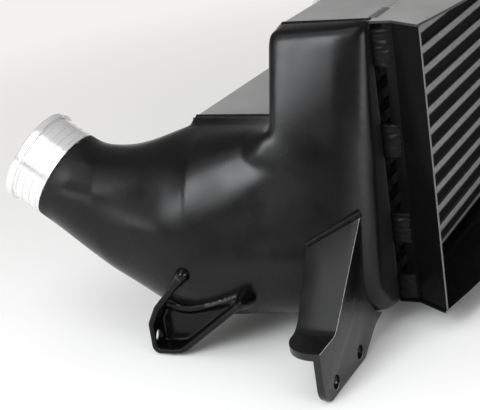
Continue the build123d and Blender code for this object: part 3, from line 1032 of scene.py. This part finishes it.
def folded_strip_tree() -> ShapeTree:
    """Tree that folds one strip into fins and stacks its layers.

    Returns:
        The tree, with inputs for the strip's size, its folds and its layers.
    """
    made = ShapeTree(
        "folded_strip", Length="Float", Depth="Float", Rise="Float", Drop="Float",
        Folds="Int", Layers="Int", Middle="Vector",
    )
    given = made.given
    across = made.math("ADD", made.math("MULTIPLY", given["Folds"], 2.0), 1.0)
    sizes = {"Size X": given["Length"], "Size Y": given["Depth"], "Vertices X": across, "Vertices Y": 2}
    grid = made.result("GeometryNodeMeshGrid", sizes)
    column = made.math("FLOOR", made.math("DIVIDE", made.result("GeometryNodeInputIndex"), 2.0))
    side = made.math("SUBTRACT", made.math("MODULO", column, 2.0), 0.5)
    lift = made.result("ShaderNodeCombineXYZ", {"Z": made.math("MULTIPLY", side, given["Rise"])})
    folded = made.result("GeometryNodeSetPosition", {"Geometry": grid, "Offset": lift})
    step = made.result("ShaderNodeCombineXYZ", {"Z": made.math("MULTIPLY", given["Drop"], -1.0)})
    places = {"Count": given["Layers"], "Start Location": given["Middle"], "Offset": step}
    stack = made.result("GeometryNodeMeshLine", places)
    made.close(made.result("GeometryNodeInstanceOnPoints", {"Points": stack, "Instance": folded}))
    return made


@dataclass
class FinPack:
    """Layers of folded fins between the closing bars of one core block."""

    node: str
    layers: int
    layer_pitch: float = 15.8 * MM
    pitch: float = 3.0 * MM
    stock: float = 0.16 * MM

    def build(self, tree: ShapeTree, material: bpy.types.Material) -> None:
        """Make the layers and hide the imported fins that they stand for.

        Args:
            tree: tree that folds the strip.
            material: the strip's finish.
        """
        low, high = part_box(self.node)
        size = high - low
        rise = size.z - (self.layers - 1) * self.layer_pitch - 2 * self.stock
        piece = object_of(f"{self.node}_folded", bpy.data.meshes.new(f"{self.node}_folded"))
        values = {
            "Length": size.x - 2 * self.stock,
            "Depth": size.y,
            "Rise": rise,
            "Drop": self.layer_pitch,
            "Folds": round(size.x / self.pitch),
            "Layers": self.layers,
            "Middle": Vector(((low.x + high.x) / 2, (low.y + high.y) / 2, high.z - rise / 2 - self.stock)),
            "Finish": material,
        }
        tree.grow(piece, values)
        wall = piece.modifiers.new("stock", "SOLIDIFY")
        wall.thickness = self.stock
        wall.offset = 0.0
        settle(piece)
        enlist(piece, "fin_coating", self.node)


# ------------------------------------------------------------------------ welds
# A bead's path steps in each ripple, and its section's corners.
STEPS_PER_RIPPLE = 6.0
BEAD_CORNERS = 14
# Shares of the full radius at the bead's very ends, and of the ripple at its middle level.
NARROWEST_END = 0.12
RIDGE_MIDDLE = 0.6
LUMPS_PER_METRE = 320.0


def rippled_bead_tree() -> ShapeTree:
    """Tree that lays a rippled bead along a path.

    Returns:
        The tree, with inputs for the bead's size, its outward side and its ripples.
    """
    made = ShapeTree(
        "rippled_bead", Half_Width="Float", Height="Float", Ripple_Pitch="Float",
        Ripple_Height="Float", Bow="Float", Unevenness="Float", End_Power="Float",
        Outward="Vector", Seed="Float",
    )
    given = made.given
    pitch, height = given["Ripple Pitch"], given["Ripple Height"]

    spline = made.node("GeometryNodeSplineParameter").outputs
    path = made.result("GeometryNodeMeshToCurve", {"Mesh": given["Geometry"]})
    steps = {"Curve": path, "Length": made.math("DIVIDE", pitch, STEPS_PER_RIPPLE)}
    fine = made.result("GeometryNodeResampleCurve", steps, mode="LENGTH")
    facing = {"Curve": fine, "Normal": given["Outward"]}
    turned = made.result("GeometryNodeSetCurveNormal", facing, mode="FREE")
    signed = made.math("SUBTRACT", made.math("MULTIPLY", spline["Factor"], 2.0), 1.0)
    fallen = made.math("POWER", made.math("ABSOLUTE", signed), given["End Power"])
    left = made.math("MAXIMUM", made.math("SUBTRACT", 1.0, fallen), 0.0)
    radius = made.math("MAXIMUM", made.math("SQRT", left), NARROWEST_END)
    sized = made.result("GeometryNodeSetCurveRadius", {"Curve": turned, "Radius": radius})
    rail = made.store("bead_run", sized, spline["Length"])

    ring = {"Resolution": BEAD_CORNERS, "Radius": 1.0}
    circle = made.result("GeometryNodeCurvePrimitiveCircle", ring)
    across = made.part(made.result("GeometryNodeInputPosition"), "Y")
    section = {"X": given["Height"], "Y": given["Half Width"], "Z": 1.0}
    flat = {
        "Geometry": made.store("bead_across", circle, across),
        "Scale": made.result("ShaderNodeCombineXYZ", section),
    }
    profile = made.result("GeometryNodeTransform", flat)
    sweep = {"Curve": rail, "Profile Curve": profile, "Fill Caps": True}
    skin = made.result("GeometryNodeCurveToMesh", sweep)

    bow = made.math("MULTIPLY", given["Bow"], made.math("POWER", made.recall("bead_across"), 2.0))
    bowed = made.math("ADD", made.recall("bead_run"), bow)
    turns = made.math("DIVIDE", made.math("MULTIPLY", bowed, math.pi), pitch)
    ridge = made.math("SUBTRACT", made.math("ABSOLUTE", made.math("SINE", turns)), RIDGE_MIDDLE)
    grain = {"Scale": LUMPS_PER_METRE, "Detail": 2.0, "W": given["Seed"]}
    rough = made.result("ShaderNodeTexNoise", grain, noise_dimensions="4D")
    lump_height = made.math("MULTIPLY", given["Unevenness"], height)
    lumps = made.math("MULTIPLY", made.math("SUBTRACT", rough, 0.5), lump_height)
    rise = made.math("ADD", made.math("MULTIPLY", ridge, height), lumps)
    outwards = {0: made.result("GeometryNodeInputNormal"), "Scale": rise}
    offset = made.result("ShaderNodeVectorMath", outwards, operation="SCALE")
    rippled = made.result("GeometryNodeSetPosition", {"Geometry": skin, "Offset": offset})
    made.close(made.result("GeometryNodeSetShadeSmooth", {"Geometry": rippled}))
    return made


def skin_of(piece: bpy.types.Object) -> BVHTree:
    """A finished piece's faces, ready for rays to be cast at them."""
    corners = [vertex.co for vertex in piece.data.vertices]
    return BVHTree.FromPolygons(corners, [tuple(face.vertices) for face in piece.data.polygons])


@dataclass(frozen=True)
class Bead:
    """One run of weld: a path, the side that it faces and the size of the bead."""

    path: Sequence[Point]
    outward: Point
    half_width: float
    height: float
    end_power: float = 14.0

    def mirrored(self) -> "Bead":
        """The same run at the other end of the core."""
        path = [(-x, y, z) for x, y, z in self.path]
        return replace(self, path=path, outward=(-self.outward[0], *self.outward[1:]))


@dataclass(frozen=True)
class Ripple:
    """The ripples of one kind of bead."""

    pitch: float = 1.9 * MM
    height: float = 0.45 * MM
    bow: float = 1.0 * MM
    unevenness: float = 1.6


SEAM_RIPPLE = Ripple(pitch=4.0 * MM, height=0.75 * MM, bow=1.6 * MM)
STITCH_RIPPLE = Ripple(pitch=3.9 * MM, height=0.55 * MM, bow=5.5 * MM, unevenness=8.0)
RIM_RIPPLE = Ripple(height=0.25 * MM, bow=0.4 * MM)
BRACKET_RIPPLE = Ripple(height=0.25 * MM, unevenness=3.0)
LUG_RIPPLE = Ripple(height=0.35 * MM, unevenness=3.0)


@dataclass
class WeldRun:
    """The beads that stand for one weld node."""

    node: str
    beads: Sequence[Bead]
    ripple: Ripple
    finish: CoatedWeld

    def build(self, tree: ShapeTree, material: bpy.types.Material) -> None:
        """Make the node's beads as one piece and hide the imported weld that it stands for.

        Args:
            tree: tree that lays a bead.
            material: the weld's finish.
        """
        whole = bmesh.new()
        for index, bead in enumerate(self.beads):
            path = bpy.data.meshes.new("path")
            edges = [(place, place + 1) for place in range(len(bead.path) - 1)]
            path.from_pydata([Vector(point) for point in bead.path], edges, [])
            run = object_of(f"{self.node}_run", path)
            values = {
                "Half Width": bead.half_width,
                "Height": bead.height,
                "Ripple Pitch": self.ripple.pitch,
                "Ripple Height": self.ripple.height,
                "Bow": self.ripple.bow,
                "Unevenness": self.ripple.unevenness,
                "End Power": bead.end_power,
                "Outward": Vector(bead.outward),
                "Seed": float(index),
                "Finish": material,
            }
            tree.grow(run, values)
            settle(run)
            whole.from_mesh(run.data)
            bpy.data.objects.remove(run)
        bmesh.ops.recalc_face_normals(whole, faces=whole.faces)
        mesh = bpy.data.meshes.new(f"{self.node}_rippled")
        whole.to_mesh(mesh)
        whole.free()
        piece = object_of(mesh.name, mesh)
        dress(piece, material)
        mesh.shade_smooth()
        enlist(piece, "weld_coating", self.node)


@dataclass
class WeldPlan:
    """Places of all weld runs, from the core's own sizes.

    Each of the strap's roots has a depth, a drop below the core's top and a reach.
    """

    half_length: float
    core_top: float
    step_level: float
    upper_depth: float
    lower_depth: float
    seam_count: int = 5
    seam_length: float = 25 * MM
    seam_start: float = 5 * MM
    stitch_place: tuple[float, float] = (-261 * MM, -6.4 * MM)
    stitch_drops: tuple[float, ...] = (19 * MM, 84 * MM, 148 * MM, 192.5 * MM)
    stitch_lengths: tuple[float, ...] = (26 * MM, 23 * MM, 22 * MM, 18 * MM)
    rim_inset: float = 1.4 * MM
    bracket_start: Point = (-295.8 * MM, 8 * MM, -21.6 * MM)
    bracket_end: Point = (-314.2 * MM, 42.7 * MM, -38.6 * MM)
    web_place: float = -326.5 * MM
    web_span: tuple[float, float] = (92 * MM, 122 * MM)
    web_points: int = 12
    web_sink: float = 0.4 * MM
    below_tank: float = -125 * MM
    strap_place: float = -326 * MM
    strap_roots: tuple[Point, ...] = ((130 * MM, 158 * MM, 337 * MM), (90 * MM, 178 * MM, 334 * MM))

    @classmethod
    def of_core(cls) -> "WeldPlan":
        """The plan for the core in the frame, from the upper rear corners of its plates."""
        top, step, bottom = (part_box(f"core_{word}_plate")[1] for word in ("top", "step", "bottom"))
        return cls(top.x, top.z, step.z, top.y, bottom.y)

    def seams(self, level: float, outward: float) -> list[Bead]:
        """Beads that join the guide's plate to the core's plate.

        Args:
            level: height of the plate's face.
            outward: 1 for the top plate, -1 for the bottom one.

        Returns:
            One bead for each seam.
        """
        span = 2 * (self.half_length - self.seam_start) - self.seam_length
        beads = []
        for index in range(self.seam_count):
            start = -self.half_length + self.seam_start + index * span / (self.seam_count - 1)
            path = [(start, 0.0, level), (start + self.seam_length, 0.0, level)]
            side = (0.0, 0.0, outward)
            beads.append(Bead(path, side, half_width=2.9 * MM, height=1.1 * MM, end_power=8.0))
        return beads

    def stitches(self) -> list[Bead]:
        """Left-hand beads that join the guide's flange to the tank's rim.

        Returns:
            One bead for each stitch.
        """
        beads = []
        for drop, length in zip(self.stitch_drops, self.stitch_lengths):
            middle = self.core_top - drop
            path = [(*self.stitch_place, middle + side * length / 2) for side in (1, -1)]
            side = (-1.0, 0.0, 0.0)
            beads.append(Bead(path, side, half_width=7.6 * MM, height=2.5 * MM, end_power=5.0))
        return beads

    def rim(self) -> list[Bead]:
        """Left-hand beads that join the core to the tank's rim.

        Returns:
            One bead for each straight edge of the rim.
        """
        x = -self.half_length + self.rim_inset
        corners = (
            (x, 0.0, self.core_top),
            (x, self.upper_depth, self.core_top),
            (x, self.upper_depth, self.step_level),
            (x, self.lower_depth, self.step_level),
            (x, self.lower_depth, -self.core_top),
            (x, 0.0, -self.core_top),
        )
        sides = ((0, 0, 1), (0, 1, 0), (0, 0, 1), (0, 1, 0), (0, 0, -1))
        return [
            Bead(path, side, half_width=1.5 * MM, height=0.8 * MM)
            for *path, side in zip(corners, corners[1:], sides)
        ]

    def bracket(self) -> list[Bead]:
        """Left-hand bead along the front bracket's flange."""
        path = [self.bracket_start, self.bracket_end]
        return [Bead(path, (-0.7, 0.0, 0.7), half_width=2.5 * MM, height=2.3 * MM)]

    def lug(self) -> list[Bead]:
        """Left-hand beads along the rear lug's web and at the two roots of its strap.

        Returns:
            The web's bead, then one for each root.
        """
        skin = skin_of(bpy.data.objects["tank_left_casting"])
        seam = []
        for depth in np.linspace(*self.web_span, self.web_points):
            below = Vector((self.web_place, depth, self.below_tank))
            met = skin.ray_cast(below, Vector((0.0, 0.0, 1.0)))[0]
            seam.append((self.web_place, depth, met.z - self.web_sink))
        beads = [Bead(seam, (-1.0, 0.0, -0.3), half_width=2.4 * MM, height=2.4 * MM)]
        for depth, drop, reach in self.strap_roots:
            path = [(x, depth, self.core_top - drop) for x in (self.strap_place, -reach)]
            side = (-0.3, 0.5, -0.8)
            beads.append(Bead(path, side, half_width=4.0 * MM, height=3.6 * MM, end_power=2.2))
        return beads

    def runs(self) -> Iterator[WeldRun]:
        """All weld runs: the guide's seams, then the others at both ends.

        Yields:
            One run for each weld node.
        """
        for word, side in (("top", 1.0), ("bottom", -1.0)):
            beads = self.seams(side * self.core_top, side)
            yield WeldRun(f"guide_seam_welds_{word}", beads, SEAM_RIPPLE, SEAM_COATING)
        kinds = (
            ("stitch_welds", self.stitches(), STITCH_RIPPLE, WELD_COATING),
            ("tank_weld", self.rim(), RIM_RIPPLE, WELD_COATING),
            ("bracket_weld", self.bracket(), BRACKET_RIPPLE, WELD_COATING),
            ("lug_welds", self.lug(), LUG_RIPPLE, LUG_WELD_COATING),
        )
        for name, beads, ripple, finish in kinds:
            yield WeldRun(f"{name}_left", beads, ripple, finish)
            yield WeldRun(f"{name}_right", [bead.mirrored() for bead in beads], ripple, finish)


# ----------------------------------------------------------------------- studio
@dataclass(frozen=True)
class Softbox:
    """One soft light, with its size in metres and its power in watts."""

    name: str
    place: Point
    size: tuple[float, float]
    power: float

    def hang(self, target: Point, tint: tuple[float, float, float]) -> None:
        """Hang the light so that it faces the object.

        Args:
            target: point that it faces.
            tint: colour of its light.
        """
        data = bpy.data.lights.new(self.name, "AREA")
        data.shape = "RECTANGLE"
        data.size, data.size_y = self.size
        data.energy = self.power
        data.color = tint
        made = bpy.data.objects.new(self.name, data)
        made.location = self.place
        aim = Vector(target) - Vector(self.place)
        made.rotation_euler = aim.to_track_quat("-Z", "Y").to_euler()
        made.visible_camera = False
        bpy.context.scene.collection.objects.link(made)


@dataclass(frozen=True)
class DarkPatch:
    """A darker patch of the surround: its direction, where it fades in and how dark it gets."""

    towards: Point
    start: float
    end: float
    share: float


class Surround(NodeTools):
    """Short hand for wiring the world's nodes."""

    def __init__(self) -> None:
        """Give the scene a fresh world."""
        world = bpy.data.worlds.new("surround")
        bpy.context.scene.world = world
        world.use_nodes = True
        world.node_tree.nodes.clear()
        super().__init__(world.node_tree)
        self.direction = self.node("ShaderNodeTexCoord").outputs["Generated"]

    def background(self, strength: float) -> bpy.types.Node:
        """A background of one even strength."""
        return self.node("ShaderNodeBackground", {"Color": PALE, "Strength": strength})

    def darkened(self, room: bpy.types.Node, patch: DarkPatch) -> bpy.types.Node:
        """The room with one dark patch added.

        Args:
            room: shader of the room so far.
            patch: the patch.

        Returns:
            The blended shader.
        """
        facing = self.dot(self.direction, Vector(patch.towards).normalized())
        share = self.ramp(
            facing, 0.0, patch.share, patch.start, patch.end, interpolation_type="SMOOTHSTEP"
        )
        return self.blend(share, room, self.background(0.0))


@dataclass
class Studio:
    """Pale floor, soft lights, plain background and the camera."""

    camera_place: Point = (-1.0453, -0.316, 0.28565)
    camera_right: Point = (0.4336, -0.889, -0.1451)
    camera_up: Point = (0.3637, 0.0254, 0.9311)
    lens: float = 96.45
    sensor: float = 36.0
    clip_span: tuple[float, float] = (0.01, 100.0)
    floor_level: float = -120.3 * MM
    floor_reach: float = 8.0
    floor_shade: float = 0.785
    floor_yellow: float = 0.99
    plain_span: tuple[float, float] = (0.42, 1.15)
    sky: float = 0.90
    fill: float = 0.63
    dark_patches: tuple[DarkPatch, ...] = (
        DarkPatch((0.0, 0.0, 1.0), 0.04, 0.36, 0.75),
        DarkPatch((-0.86, -0.46, 0.22), 0.45, 0.90, 0.95),
        DarkPatch((-0.94, 0.24, 0.23), 0.960, 0.975, 0.72),
    )
    target: Point = (-0.30, 0.05, 0.0)
    light_tint: tuple[float, float, float] = (0.96, 0.975, 1.0)
    softboxes: tuple[Softbox, ...] = (
        Softbox("side_softbox", (-1.60, 0.27, 0.76), (0.60, 0.70), 20.0),
        Softbox("strip_softbox", (-1.51, 1.12, 0.12), (0.6, 0.34), 2.2),
        Softbox("front_softbox", (-1.07, -1.45, 0.26), (0.9, 0.8), 12.5),
        Softbox("top_softbox", (-1.15, 0.22, 1.46), (1.4, 1.4), 9.5),
    )

    def camera(self) -> None:
        """Make the camera and give it to the scene."""
        data = bpy.data.cameras.new("camera")
        data.lens = self.lens
        data.sensor_width = self.sensor
        data.clip_start, data.clip_end = self.clip_span
        made = bpy.data.objects.new("camera", data)
        right = Vector(self.camera_right).normalized()
        up = Vector(self.camera_up)
        up = (up - right * up.dot(right)).normalized()
        turn = Matrix((right, up, right.cross(up))).transposed()
        made.matrix_world = Matrix.Translation(self.camera_place) @ turn.to_4x4()
        bpy.context.scene.collection.objects.link(made)
        bpy.context.scene.camera = made

    def floor(self) -> None:
        """Lay the pale floor, which turns into the plain background away from the object."""
        mesh = bpy.data.meshes.new("floor")
        reach, level = self.floor_reach, self.floor_level
        corners = [(-reach, -reach), (reach, -reach), (reach, reach), (-reach, reach)]
        mesh.from_pydata([(x, y, level) for x, y in corners], [], [(0, 1, 2, 3)])
        floor = object_of("floor", mesh)
        shade = self.floor_shade
        colour = (shade, shade, self.floor_yellow * shade, 1.0)
        made = Shading("floor_paper", Base_Color=colour, Roughness=0.9, Specular_IOR_Level=0.1)
        length = made.node("ShaderNodeVectorMath", {0: made.place}, operation="LENGTH")
        far = made.ramp(length.outputs["Value"], 0.0, 1.0, *self.plain_span)
        rays = made.node("ShaderNodeLightPath").outputs
        shown = made.math("MAXIMUM", rays["Is Camera Ray"], rays["Is Glossy Ray"])
        plain = made.node("ShaderNodeEmission", {"Color": PALE, "Strength": self.sky})
        mix = made.blend(made.math("MULTIPLY", far, shown), made.surface, plain)
        out = made.tree.nodes["Material Output"]
        made.tree.links.new(mix.outputs[0], out.inputs["Surface"])
        dress(floor, made.material)

    def world(self) -> None:
        """Soft surround: pale to the camera, darker in patches to reflections, low elsewhere."""
        made = Surround()
        rays = made.node("ShaderNodeLightPath").outputs
        room = made.background(self.sky)
        for patch in self.dark_patches:
            room = made.darkened(room, patch)
        seen = made.blend(rays["Is Glossy Ray"], made.background(self.fill), room)
        shown = made.math("MAXIMUM", rays["Is Camera Ray"], rays["Is Transmission Ray"])
        final = made.blend(shown, seen, made.background(self.sky))
        made.node("ShaderNodeOutputWorld", {"Surface": final.outputs[0]})

    def build(self) -> None:
        """Set up the whole studio."""
        self.camera()
        self.floor()
        self.world()
        for softbox in self.softboxes:
            softbox.hang(self.target, self.light_tint)
        bpy.context.scene.view_settings.view_transform = "Standard"


# --------------------------------------------------------------------- assembly
SOFT_EDGES = (
    SoftEdges(
        ("core_top_plate", "core_step_plate", "core_bottom_plate"),
        "core_coating", PLATE_COATING, 0.5 * MM,
    ),
    SoftEdges(
        ("front_closing_bars", "rear_closing_bars_upper", "rear_closing_bars_lower"),
        "bar_coating", BAR_COATING, 0.7 * MM,
    ),
    SoftEdges(("header_bars_left", "header_bars_right"), "bar_coating", BAR_BLACK, 0.5 * MM),
    SoftEdges(("guide_top_plate",), "guide_coating", PLATE_COATING, 0.45 * MM),
    SoftEdges(
        ("guide_bottom_plate", "guide_side_left", "guide_side_right"),
        "guide_coating", GUIDE_COATING, 0.45 * MM,
    ),
    SoftEdges(
        ("front_bracket_left", "front_bracket_right"), "bracket_coating", BRACKET_COATING, 1.5 * MM, 4
    ),
)
CARRIED_OVER = {
    "parting_sheets_upper": SHEET_COATING,
    "parting_sheets_lower": SHEET_COATING,
    "charge_fins_upper": BARE_FIN,
    "charge_fins_lower": BARE_FIN,
}
FIN_PACKS = (
    FinPack("ambient_fins_upper", 5),
    FinPack("ambient_fins_lower", 8),
    FinPack("ambient_fins_under_step", 1),
)


def main() -> None:
    """Build every sub-assembly in order, then the studio."""
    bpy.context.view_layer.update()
    materials = {finish: finish.material() for finish in FINISHES}
    for end in End:
        EndTank(end).build(materials[TANK_COATING])
        HoseSpigot(end).build(materials[BARE_SPIGOT])
    for edges in SOFT_EDGES:
        edges.build(materials[edges.finish])
    for end in End:
        RearLug(end).build(materials[LUG_COATING])
    strip = folded_strip_tree()
    for pack in FIN_PACKS:
        pack.build(strip, materials[FIN_COATING])
    bead = rippled_bead_tree()
    for run in WeldPlan.of_core().runs():
        run.build(bead, materials[run.finish])
    for node, finish in CARRIED_OVER.items():
        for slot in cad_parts[node].material_slots:
            slot.material = materials[finish]
    Studio().build()


if __name__ == "__main__":
    logging.basicConfig(level=logging.INFO, format="%(name)s %(message)s")
    main()
